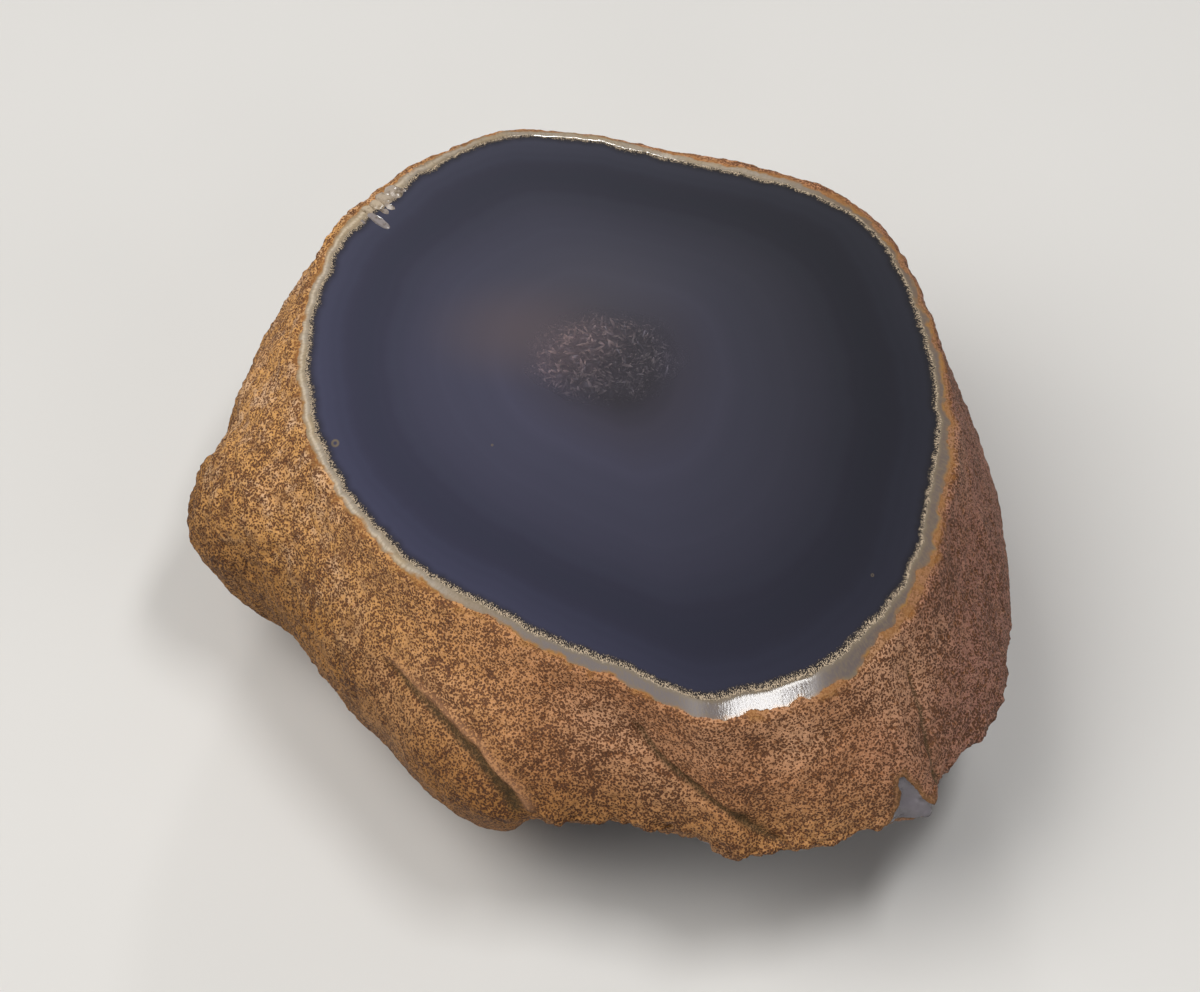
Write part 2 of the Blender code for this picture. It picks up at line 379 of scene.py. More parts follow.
underMark = (rowNumber - girthRow - relief["fractureRow"]) / relief["fractureRows"]
underMark = smoothStep(underMark) * broken * onFoot
belowRim = np.concatenate([[np.zeros(stone["columns"])],
                           np.cumsum(np.linalg.norm(np.diff(shell, axis=0), axis=-1), axis=0)])


def meshPiece(name, points, faces, normals, values, material):
    data = bpy.data.meshes.new(name)
    flat = points.reshape(-1, 3) * mm
    data.from_pydata(flat.tolist(), [], faces)
    for label, grid in values.items():
        layer = data.attributes.new(label, "FLOAT", "POINT")
        layer.data.foreach_set("value", np.asarray(grid, np.float32).reshape(-1))
    data.shade_smooth()
    if normals is not None:
        data.normals_split_custom_set_from_vertices(normals.reshape(-1, 3).tolist())
    data.materials.append(material)
    piece = bpy.data.objects.new(name, data)
    bpy.context.scene.collection.objects.link(piece)
    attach(piece, "root")
    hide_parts("agate_nodule")
    return piece


def gridFaces(rows, columns, closed):
    last = columns if closed else columns - 1
    row, column = np.meshgrid(np.arange(rows - 1), np.arange(last), indexing="ij")
    following = (column + 1) % columns
    corners = [row * columns + column, (row + 1) * columns + column,
               (row + 1) * columns + following, row * columns + following]
    return np.stack(corners, axis=-1).reshape(-1, 4).tolist()


# Shader helpers
def add(tree, kind, inputs=None, **options):
    node = tree.nodes.new(kind)
    for option, value in options.items():
        setattr(node, option, value)
    for socket, value in (inputs or {}).items():
        if isinstance(value, bpy.types.NodeSocket):
            tree.links.new(value, node.inputs[socket])
        else:
            node.inputs[socket].default_value = value
    return node


def sums(tree, operation, first, second=0.0, third=0.0):
    values = {0: first, 1: second, 2: third}
    return add(tree, "ShaderNodeMath", values, operation=operation).outputs[0]


def times(tree, first, *others):
    for other in others:
        first = sums(tree, "MULTIPLY", first, other)
    return first


def spread(tree, value, fromLow, fromHigh, toLow=0.0, toHigh=1.0, smooth=True):
    values = {0: value, 1: fromLow, 2: fromHigh, 3: toLow, 4: toHigh}
    kind = "SMOOTHSTEP" if smooth else "LINEAR"
    return add(tree, "ShaderNodeMapRange", values, interpolation_type=kind).outputs[0]


def blend(tree, factor, first, second, kind="MIX"):
    values = {0: factor, 6: colour(first), 7: colour(second)}
    return add(tree, "ShaderNodeMix", values, data_type="RGBA", blend_type=kind).outputs[2]


def colour(value):
    if isinstance(value, bpy.types.NodeSocket):
        return value
    return (*value[:3], 1.0)


def vectors(tree, operation, values):
    # the result of a vector sum, or its length
    node = add(tree, "ShaderNodeVectorMath", values, operation=operation)
    return node.outputs[1 if operation == "LENGTH" else 0]


def grain(tree, vector, scale, detail=2.0, rough=0.5):
    values = {"Vector": vector, "Scale": scale, "Detail": detail, "Roughness": rough}
    return add(tree, "ShaderNodeTexNoise", values).outputs[0]


def offset(tree, value, scale):
    # noise of 0 to 1 turned into a shift about nought
    return sums(tree, "MULTIPLY", sums(tree, "SUBTRACT", value, 0.5), scale)


def rampOf(tree, value, stops):
    node = add(tree, "ShaderNodeValToRGB", {0: value})
    ramp = node.color_ramp
    while len(ramp.elements) < len(stops):
        ramp.elements.new(0.5)
    for element, (place, shade) in zip(ramp.elements, stops):
        element.position = place
        element.color = colour(shade)
    return node.outputs[0]


def axes(tree, place):
    # how far right, back and up, in metres
    return add(tree, "ShaderNodeSeparateXYZ", {0: place}).outputs


def painted(tree, label):
    return add(tree, "ShaderNodeAttribute", attribute_name=label, attribute_type="GEOMETRY").outputs[2]


def newMaterial(name):
    made = bpy.data.materials.new(name)
    made.use_nodes = True
    tree = made.node_tree
    shader = tree.nodes["Principled BSDF"]
    place = add(tree, "ShaderNodeTexCoord").outputs["Object"]
    return made, tree, shader, place


def link(tree, shader, values):
    for socket, value in values.items():
        if isinstance(value, bpy.types.NodeSocket):
            tree.links.new(value, shader.inputs[socket])
        else:
            shader.inputs[socket].default_value = value


# The rind: pinkish tan ground with dark reddish pits, yellower at the left and along the lower edges, with
# painted shade near the lower edge and in the grooves, and painted light on the rib
rind = {
    "ground": (0.45, 0.196, 0.081),
    "groundLeft": (0.64, 0.325, 0.092),
    "groundRight": (0.30, 0.134, 0.098),
    "groundPale": (0.68, 0.385, 0.225),
    # painted light on the lit flank beside a groove, with the rib's own pinker tone
    "rib": (0.52, 0.26, 0.13),
    "rust": (0.36, 0.130, 0.030),
    "umber": (0.24, 0.115, 0.038),
    "pit": (0.205, 0.075, 0.026),
    "pitLeft": (0.29, 0.120, 0.035),
    "pitRight": (0.095, 0.036, 0.022),
    "pitDark": (0.090, 0.033, 0.012),
    "crust": (0.74, 0.50, 0.33),   # the paler crust in patches at the left
    "shade": (0.59, 0.52, 0.33),   # painted shade: what the colours are multiplied by near the lower edge, which also turns them yellower
    "ochre": (0.34, 0.155, 0.036),
    # painted shade in the grooves
    "paintedGrooveShade": (0.085, 0.055, 0.020),
    "fracture": (0.120, 0.110, 0.130),
    "fracturePale": (0.235, 0.213, 0.225),
    # grains: how fine per metre, how detailed and how rough
    "pitsPerMetre": 3500.0,
    "warpPerMetre": 1500.0,
    "crumbs": (7500.0, 2.0, 0.6),
    "specks": (6500.0, 1.0),
    "rustGrain": (1900.0, 2.0, 0.6),
    "clumps": (900.0, 2.0, 0.6),
    "chipGrain": (900.0, 2.0),
    "stainEdge": (500.0, 3.0, 0.6),
    "mottles": (420.0, 3.0, 0.6),
    "breakGrain": (260.0, 4.0, 0.6),
    "glassGrain": (260.0, 3.0),
    "stainGrain": (240.0, 3.0, 0.6),
    "crustGrain": (190.0, 5.0, 0.70),
    "broad": (150.0, 3.0, 0.6),
    "patches": (48.0, 2.0, 0.5),
    # how far a grain shifts what it is added to
    "crumbShift": 0.50,
    "clumpShift": 0.65,
    "chipShift": 0.7,
    "breakShift": 0.9,
    "stainShift": 3.2,
    # where a change starts and is complete, in metres to the right or up
    "toLeft": (0.005, -0.040),
    "toRight": (0.024, 0.048),
    "lowDown": (0.034, 0.022),
    "crustLeft": (-0.026, -0.034),
    "crustUp": (0.024, 0.030),
    "shadeDown": (0.036, 0.023),
    "shadeLeft": (0.035, 0.0),
    # at what share of a grain a change starts and is complete, and its least and most
    "pitSizes": (0.3, 0.7, 0.40, 0.60),
    "pitRim": (0.07, -0.07),
    "pitFloor": (-0.05, -0.25),
    "paleShare": (0.50, 0.75, 0.0, 0.7),
    "umberShare": (0.50, 0.66),
    "rustShare": (0.56, 0.72, 0.0, 0.7),
    "speckShare": (0.45, 0.70, 0.0, 0.45),
    "crustShare": (0.46, 0.66, 0.0, 0.75),
    "rustyPits": (0.46, 0.62, 0.0, 0.6),
    "stainShare": (0.43, 0.58, 0.15, 1.0),
    "stainReach": (2.5, 1.5, 0.0, 0.75),
    "fractureShare": (0.50, 0.56),
    "chipShare": (0.0, 0.12),
    "chipRim": (-1.0, 0.0, 0.0, 0.85),
    "grooveGrain": (0.2, 0.7, 1.2, 0.7),
    "grooveShadeShare": (0.05, 0.9, 0.0, 0.85),
    # how strong things are
    "pitStrength": 0.97,
    "pitLeftStrength": 0.75,
    "pitStain": 0.60,
    "ribLightStrength": 0.62,
    "lowYellow": 0.6,
    "umberGain": (0.45, 0.2),      # how much more umber where it is yellower, and everywhere
    "pitWarp": 0.0004,             # how far the pits are pulled out of shape, in metres
    "pitDepth": 0.00016,
    "speckHeight": 0.5,            # how high the specks stand, next to the depth of the pits
    "roughness": (0.75, 0.28),     # of the rind and of the bared chalcedony
    "specular": 0.4,
}


def rindSkin(tree, place):
    # colour, pits and specks of the rind at any place, with painted shade near the lower edge
    right, _, up = axes(tree, place)
    warped = {"Vector": place, "Scale": rind["warpPerMetre"], "Detail": 1.0}
    warp = add(tree, "ShaderNodeTexNoise", warped).outputs[1]
    warp = vectors(tree, "SUBTRACT", {0: warp, 1: (0.5, 0.5, 0.5)})
    warp = vectors(tree, "SCALE", {0: warp, "Scale": rind["pitWarp"]})
    moved = vectors(tree, "ADD", {0: place, 1: warp})
    cells = add(tree, "ShaderNodeTexVoronoi", {"Vector": moved, "Scale": rind["pitsPerMetre"]})
    crumbs = offset(tree, grain(tree, place, *rind["crumbs"]), rind["crumbShift"])
    fine = sums(tree, "ADD", cells.outputs["Distance"], crumbs)
    clumps = grain(tree, place, *rind["clumps"])
    specks = grain(tree, place, *rind["specks"])
    level = spread(tree, grain(tree, place, *rind["broad"]), *rind["pitSizes"], False)
    level = sums(tree, "ADD", level, offset(tree, clumps, rind["clumpShift"]))
    above = sums(tree, "SUBTRACT", fine, level)
    pits = spread(tree, above, *rind["pitRim"])
    leftness = spread(tree, right, *rind["toLeft"])
    rightness = spread(tree, right, *rind["toRight"])
    lowness = spread(tree, up, *rind["lowDown"])
    lowYellow = times(tree, lowness, spread(tree, rightness, 0.0, 1.0, rind["lowYellow"], 0.0))
    yellow = sums(tree, "MAXIMUM", leftness, lowYellow)

    ground = blend(tree, rightness, rind["ground"], rind["groundRight"])
    ground = blend(tree, yellow, ground, rind["groundLeft"])
    pale = spread(tree, grain(tree, place, *rind["patches"]), *rind["paleShare"])
    ground = blend(tree, pale, ground, rind["groundPale"])
    mottled = spread(tree, grain(tree, place, *rind["mottles"]), *rind["umberShare"])
    umber = times(tree, mottled, sums(tree, "MULTIPLY_ADD", yellow, *rind["umberGain"]))
    ground = blend(tree, umber, ground, rind["umber"])
    ground = blend(tree, spread(tree, clumps, *rind["rustShare"]), ground, rind["rust"])
    ground = blend(tree, spread(tree, specks, *rind["speckShare"]), ground, rind["groundPale"])
    crusty = spread(tree, grain(tree, place, *rind["crustGrain"]), *rind["crustShare"])
    crusty = times(tree, crusty, spread(tree, right, *rind["crustLeft"]),
                   spread(tree, up, *rind["crustUp"]))
    ground = blend(tree, crusty, ground, rind["crust"])

    inPits = blend(tree, times(tree, leftness, rind["pitLeftStrength"]), rind["pit"], rind["pitLeft"])
    inPits = blend(tree, rightness, inPits, rind["pitRight"])
    rusty = spread(tree, grain(tree, place, *rind["rustGrain"]), *rind["rustyPits"])
    inPits = blend(tree, rusty, inPits, rind["rust"])
    inPits = blend(tree, spread(tree, above, *rind["pitFloor"]), inPits, rind["pitDark"])
    skin = blend(tree, times(tree, pits, rind["pitStrength"]), ground, inPits)
    # painted shade: darker and yellower near the lower edge, at the left and middle
    paintedShadeMask = times(tree, spread(tree, up, *rind["shadeDown"]), spread(tree, right, *rind["shadeLeft"]))
    skin = blend(tree, paintedShadeMask, skin, blend(tree, 1.0, skin, rind["shade"], "MULTIPLY"))
    return skin, pits, specks


def rimStained(tree, place, skin, pits, below):
    # the rind turns ochre in patches near the skin band, by the distance below it
    ragged = sums(tree, "MULTIPLY_ADD", grain(tree, place, *rind["stainEdge"]), rind["stainShift"], below)
    patchy = spread(tree, grain(tree, place, *rind["stainGrain"]), *rind["stainShare"])
    stain = times(tree, spread(tree, ragged, *rind["stainReach"]), patchy)
    ochre = blend(tree, times(tree, pits, rind["pitStain"]), rind["ochre"], rind["rust"])
    return blend(tree, stain, skin, ochre)


def rindMaterial():
    made, tree, shader, place = newMaterial("rind")
    skin, pits, specks = rindSkin(tree, place)
    surface = rimStained(tree, place, skin, pits, painted(tree, "belowRim"))
    chipEdge = offset(tree, grain(tree, place, *rind["chipGrain"]), rind["chipShift"])
    chipEdge = sums(tree, "ADD", painted(tree, "chip"), chipEdge)
    fractured = offset(tree, grain(tree, place, *rind["breakGrain"]), rind["breakShift"])
    fractured = sums(tree, "ADD", painted(tree, "broken"), fractured)
    bare = sums(tree, "MAXIMUM", spread(tree, fractured, *rind["fractureShare"]),
                spread(tree, chipEdge, *rind["chipShare"]))
    # painted shade: the grooves are darkened to dark olive, in specks
    grooveShadow = times(tree, painted(tree, "groove"), spread(tree, specks, *rind["grooveGrain"]))
    surface = blend(tree, spread(tree, grooveShadow, *rind["grooveShadeShare"]), surface, rind["paintedGrooveShade"])
    # painted light: the rib beside a groove is lightened, and takes its own pinker tone
    surface = blend(tree, times(tree, painted(tree, "rib"), rind["ribLightStrength"]), surface, rind["rib"])
    surface = blend(tree, spread(tree, chipEdge, *rind["chipRim"]), surface, rind["umber"])
    glassy = blend(tree, grain(tree, place, *rind["glassGrain"]), rind["fracture"], rind["fracturePale"])
    surface = blend(tree, bare, surface, glassy)
    depth = sums(tree, "MULTIPLY_ADD", pits, -1.0, times(tree, specks, rind["speckHeight"]))
    depth = times(tree, depth, sums(tree, "SUBTRACT", 1.0, bare))
    lifted = add(tree, "ShaderNodeBump", {"Distance": rind["pitDepth"], "Height": depth}).outputs[0]
    gloss = spread(tree, bare, 0.0, 1.0, *rind["roughness"])
    link(tree, shader, {"Base Color": surface, "Roughness": gloss, "Normal": lifted})
    shader.inputs["Specular IOR Level"].default_value = rind["specular"]
    return made


rindFinish = rindMaterial()


def shellPiece(name, rowFrom, rowTo, columnList, closed):
    picked = np.ix_(np.arange(rowFrom, rowTo + 1), columnList)
    values = {
        "belowRim": belowRim[picked],
        "groove": grooveShadeMark[picked],
        "rib": ribLitMark[picked],
        "broken": underMark[picked],
        "chip": chipInside[picked],
    }
    faces = gridFaces(rowTo - rowFrom + 1, len(columnList), closed)
    return meshPiece(name, shell[picked], faces, outward[picked], values, rindFinish)


# the two meshes of the wall share a column at each seam
turned = (degrees - stone["seamFrom"]) % 360.0
backColumns = np.nonzero(turned <= stone["seamSpan"])[0]
frontColumns = np.nonzero(turned >= turned[backColumns].max())[0]
frontColumns = frontColumns[np.argsort(turned[frontColumns])]
frontColumns = np.append(frontColumns, backColumns[0])
shellPiece("rind_front", 0, girthRow, frontColumns, False)
shellPiece("rind_back", 0, girthRow, backColumns, False)
shellPiece("rind_underside", girthRow, len(shell) - 1, np.arange(stone["columns"]), True)
print("rind shaped")


# The polished face: rings from the druse's middle out to the edge
face = {
    "druseAt": (1.0, 9.4),
    "druseReach": (9.8, 7.4),      # half width and half depth of the window onto the druse
    "stripWidth": 4.6,             # the outer strip that carries the skin band
    "stripRings": 34,
    "faceRings": 26,
    # how far the rind laps onto the polished edge, by direction, in degrees and millimetres
    "lapWidths": [(-180, 0.2), (-140, 0.2), (-100, 0.3), (-82, 0.25), (-66, 0.8), (-55, 0.85), (-43, 0.85),
                  (-26, 0.7), (-6, 0.6), (20, 0.45), (45, 0.4), (75, 0.35), (95, 0.1), (125, 0.2),
                  (150, 0.2)],
    # width of the skin band by direction, in degrees and millimetres
    "bandWidths": [(-180, 1.2), (-160, 0.9), (-140, 0.8), (-120, 0.6), (-100, 0.4), (-90, 0.8), (-80, 1.5),
                   (-70, 2.6), (-60, 2.4), (-50, 2.3), (-40, 1.8), (-20, 1.9), (0, 1.6), (20, 1.35),
                   (30, 1.15), (40, 1.4), (50, 1.8), (70, 1.9), (90, 1.6), (110, 1.5), (124, 2.3),
                   (132, 2.3), (145, 1.4), (170, 1.3)],
    "bandLumps": (3.6, 0.30, 4, 24.0),  # how uneven the band is: size, height, octaves and seed
    "lapLumps": (3.4, 1.1, 2, 26.0),
    "lapSoftness": 8.0,
    "edgeSoftness": 8.0,
    "pastBand": 0.4,               # how far past the band the edge begins to drop
    "polishSoftness": 9.0,
}

rim = shell[0].copy()
hub = np.array([*face["druseAt"], faceHeight])
toHub = hub - rim
toHub[:, 2] = 0.0
spoke = np.linalg.norm(toHub, axis=1)
toHub = toHub / spoke[:, None]

bandWidth = byDirection(face["bandWidths"]) + edgeMoved
edgeWidth = blurred(bandWidth, face["edgeSoftness"], 0, True) + face["pastBand"]
bandWidth = bandWidth + lumps(rim, face["bandLumps"])
lapWidth = byDirection(face["lapWidths"], face["lapSoftness"])
lapWidth = np.maximum(lapWidth * (1.0 + lumps(rim, face["lapLumps"])), 0.0)
sideSteps = np.linalg.norm(np.roll(rim, -1, axis=0) - rim, axis=1)
perimeter = np.sum(sideSteps)
around = np.cumsum(sideSteps) / perimeter * math.tau


def polishedAt(inward):
    # points at a distance in from the edge, along the line to the druse's middle
    t = np.clip(1.0 - inward / edgeWidth, 0.0, 1.0)
    turn = stone["edgeTurn"]
    fall = np.where(t < turn, t ** 2 / (2.0 * turn), t - turn / 2.0) / (1.0 - turn / 2.0)
    points = rim + toHub * inward[..., None]
    points[..., 2] = faceHeight - edgeDrop * fall
    return points


stripShare = np.linspace(1.0, 0.0, face["stripRings"])[:, None]
stripInward = face["stripWidth"] * stripShare * np.ones_like(spoke)
faceShare = np.linspace(0.0, 1.0, face["faceRings"])[:, None]
faceInward = spoke + (face["stripWidth"] - spoke) * faceShare


def polishedPiece(name, inward, finish, slotName):
    points = polishedAt(inward)
    values = {
        "inward": inward,
        "share": 1.0 - inward / spoke,
        "band": np.broadcast_to(bandWidth, inward.shape),
        "lap": np.broadcast_to(lapWidth, inward.shape),
        "ringX": np.broadcast_to(np.cos(around) * perimeter / math.tau, inward.shape),
        "ringY": np.broadcast_to(np.sin(around) * perimeter / math.tau, inward.shape),
    }
    faces = gridFaces(len(inward), stone["columns"], True)
    normals = None
    if slotName == "skin_band":
        # the polish runs evenly over the ragged edge, so its normals are evened out along it
        normals = blurred(gridNormals(points), face["polishSoftness"], 1, True)
    return meshPiece(name, points, faces, normals, values, finish)


# The chalcedony: blue-grey in faint rings, lighter and bluer at the left
chalcedony = {
    # shade from the druse's middle out to the edge
    "rings": [(0.00, (0.035, 0.032, 0.040)), (0.13, (0.037, 0.034, 0.043)), (0.23, (0.051, 0.048, 0.069)),
              (0.34, (0.055, 0.054, 0.083)), (0.42, (0.051, 0.051, 0.078)), (0.55, (0.046, 0.046, 0.070)),
              (0.64, (0.041, 0.041, 0.063)), (0.685, (0.037, 0.038, 0.058)), (0.715, (0.032, 0.032, 0.050)),
              (0.78, (0.030, 0.031, 0.048)), (0.835, (0.031, 0.031, 0.049)), (0.86, (0.035, 0.036, 0.057)),
              (0.94, (0.042, 0.043, 0.068)), (1.00, (0.045, 0.046, 0.071))],
    "warmGlow": (0.096, 0.077, 0.087),
    "paleGlow": (0.069, 0.066, 0.081),
    "mark": (0.20, 0.155, 0.095),
    # small spots: middle, size and how dark
    "marks": [((-32.0, -4.7), 0.45, 0.7), ((-12.7, -5.0), 0.14, 0.7), ((33.0, -24.9), 0.18, 0.5)],
    # clouds and layers: how fine, how detailed and how rough, and how much they shift
    "clouds": (45.0, 2.0),
    "cloudShift": 0.07,
    "layers": (1.0, 3.0, 0.6),
    "layerCount": 16.0,
    "layerShift": 0.22,
    # how light it is in the middle, and how much lighter and bluer it gets per metre
    "gain": 0.97,
    "lighterRight": -10.0,
    "lighterBack": 2.0,
    "bluerRight": -2.6,
    "bluerBack": -2.6,
    # glows: middle, how they are squeezed, and from how far and how strong they are
    "pale": ((-1.0, 20.0), (0.7, 1.0), (13.0, 0.0, 0.0, 0.55)),
    "warm": ((-9.5, 13.5), (0.8, 1.1), (12.0, 0.0, 0.0, 0.75)),
    # the clear part over the druse: where it starts and is complete, and how clear it is
    "window": (1.30, 0.75, 0.0, 0.93),
    "windowGrain": (300.0, 2.0),
    "windowShift": 0.5,
    "roughness": 0.045,
    "ior": 1.54,
}


def farFrom(tree, place, at, squeeze):
    # how far from a spot on the face, in millimetres
    spot = (at[0] * mm, at[1] * mm, faceHeight * mm)
    gap = vectors(tree, "SUBTRACT", {0: place, 1: spot})
    gap = vectors(tree, "MULTIPLY", {0: gap, 1: (squeeze[0] / mm, squeeze[1] / mm, 0.0)})
    return vectors(tree, "LENGTH", {0: gap})


def chalcedonyColour(tree, place):
    clouds = offset(tree, grain(tree, place, *chalcedony["clouds"]), chalcedony["cloudShift"])
    waved = sums(tree, "ADD", painted(tree, "share"), clouds)
    surface = rampOf(tree, waved, chalcedony["rings"])
    layers = times(tree, waved, chalcedony["layerCount"])
    layers = add(tree, "ShaderNodeCombineXYZ", {0: layers}).outputs[0]
    layers = offset(tree, grain(tree, layers, *chalcedony["layers"]), chalcedony["layerShift"])
    right, back, _ = axes(tree, place)
    gain = sums(tree, "MULTIPLY_ADD", right, chalcedony["lighterRight"], chalcedony["gain"])
    gain = sums(tree, "MULTIPLY_ADD", back, chalcedony["lighterBack"], gain)
    gain = times(tree, gain, sums(tree, "ADD", 1.0, layers))
    bluer = sums(tree, "MULTIPLY_ADD", right, chalcedony["bluerRight"], 1.0)
    bluer = sums(tree, "MULTIPLY_ADD", back, chalcedony["bluerBack"], bluer)
    gains = {0: gain, 1: gain, 2: times(tree, gain, bluer)}
    gains = add(tree, "ShaderNodeCombineXYZ", gains).outputs[0]
    surface = vectors(tree, "MULTIPLY", {0: surface, 1: gains})
    for at, size, strength in chalcedony["marks"]:
        # each mark is a small ring
        near = farFrom(tree, place, at, (1.0, 0.8))
        near = sums(tree, "ABSOLUTE", sums(tree, "SUBTRACT", near, size * 0.8))
        marked = spread(tree, near, size * 0.5, size * 0.1, 0.0, strength)
        surface = blend(tree, marked, surface, chalcedony["mark"])
    return surface


# The skin band: cream at the left, greyer at the front, greyer and darker at the right with painted shade,
# with a bristle on its inner side
skinBand = {
    "cream": (0.37, 0.283, 0.180),
    "grey": (0.36, 0.305, 0.245),
    # painted highlight along the middle of the band, at the left
    "bright": (0.66, 0.555, 0.42),
    "front": (0.155, 0.132, 0.130),
    # painted shade: the band darker at the right
    "right": (0.108, 0.079, 0.069),
    "dull": (0.20, 0.155, 0.095),
    "ochre": (0.30, 0.145, 0.035),
    "bristle": (0.52, 0.41, 0.29),
    "bristleGap": (0.030, 0.025, 0.021),
    "halo": (0.014, 0.012, 0.012),
    # grains: how fine per metre, how detailed and how rough
    "fibres": (9500.0, 1.0, 0.5),
    "threads": (3325.0, 2.0, 0.6),
    "wobble": (1500.0, 3.0, 0.65),
    "lapGrain": (420.0, 3.0, 0.55),
    "ochreGrain": (300.0, 3.0, 0.6),
    "creamGrain": (150.0, 3.0, 0.6),
    # how far a grain shifts an edge, in millimetres
    "wobbleShift": 0.9,
    "threadShift": -0.35,
    "lapWobble": 0.45,
    "lapShift": 1.5,
    # how far the bristle stands in from the band, at the sides and at the front
    "bristleReach": (0.75, 1.25),
    "bristleFade": (0.1, -0.5),
    "bristleThin": (0.44, 0.62),   # how much of the bristle is left out, at the band and at its tips
    "bristleSharp": 0.05,
    "fibreLength": 0.45,           # how much the fibres are squeezed along their length
    # where a change starts and is complete, in metres to the right or back
    "toLeft": (-0.012, -0.030),
    "toRight": (0.018, 0.036, 0.0, 0.9),
    "toFront": (-0.022, -0.037, 0.0, 0.95),
    "bristleFront": (-0.022, -0.036),
    "glossFront": ((0.008, 0.014), (0.029, 0.024), (-0.030, -0.040)),
    "glossBack": ((0.036, 0.042), (0.013, 0.008)),
    # at what share a change starts and is complete, and its least and most
    "haloReach": (1.7, 0.2, 0.0, 0.7),
    "gapShare": 0.75,
    "bandFade": (0.15, -0.10),
    "greyShare": (0.38, 0.62),
    "highlightShare": (0.22, 0.05, 0.0, 0.5),
    "dullShare": (0.20, 0.48, 0.0, 0.6),
    "threadShare": (0.42, 0.70, 0.0, 0.45),
    "ochreShare": (0.42, 0.62, 0.15, 1.0),
    "ochreReach": (0.55, 0.05),
    "lapFade": (0.06, -0.10),
    "lapBelow": -0.4,              # the rind on the edge counts as above the rim, for its stain
    # painted shade: how far the rind on the edge is darkened at the right
    "lapShadeRight": 0.60,
    "roughness": (0.90, 0.14),     # where the band is dull and where it is glossy
    "roughFade": (0.2, -0.2),
    "lapRoughness": 0.8,
    "relief": 0.000014,
    "pitRelief": -2.0,
}


def bandCream(tree, place, inward, threads, paintedShadeRight):
    # the colour across the band: a painted highlight along its middle at the left, and duller to its edges
    right, back, _ = axes(tree, place)
    greyer = spread(tree, grain(tree, place, *skinBand["creamGrain"]), *skinBand["greyShare"])
    cream = blend(tree, greyer, skinBand["cream"], skinBand["grey"])
    crosswise = sums(tree, "DIVIDE", inward, painted(tree, "band"))
    fromMiddle = sums(tree, "ABSOLUTE", sums(tree, "SUBTRACT", crosswise, 0.5))
    paintedHighlight = times(tree, spread(tree, fromMiddle, *skinBand["highlightShare"]),
                     spread(tree, right, *skinBand["toLeft"]))
    cream = blend(tree, paintedHighlight, cream, skinBand["bright"])
    cream = blend(tree, spread(tree, back, *skinBand["toFront"]), cream, skinBand["front"])
    # painted shade: the band darker at the right
    cream = blend(tree, paintedShadeRight, cream, skinBand["right"])
    cream = blend(tree, spread(tree, threads, *skinBand["threadShare"]), cream, skinBand["dull"])
    return blend(tree, spread(tree, fromMiddle, *skinBand["dullShare"]), cream, skinBand["dull"])


def bandRoughness(tree, place):
    # the band is glossy at the front right and at the back, and dull elsewhere
    right, back, _ = axes(tree, place)
    begins, ends, toFront = skinBand["glossFront"]
    front = times(tree, spread(tree, right, *begins), spread(tree, right, *ends),
                  spread(tree, back, *toFront))
    toBack, ends = skinBand["glossBack"]
    behind = times(tree, spread(tree, back, *toBack), spread(tree, right, *ends))
    glossy = sums(tree, "MAXIMUM", front, behind)
    return spread(tree, glossy, 0.0, 1.0, *skinBand["roughness"], False)


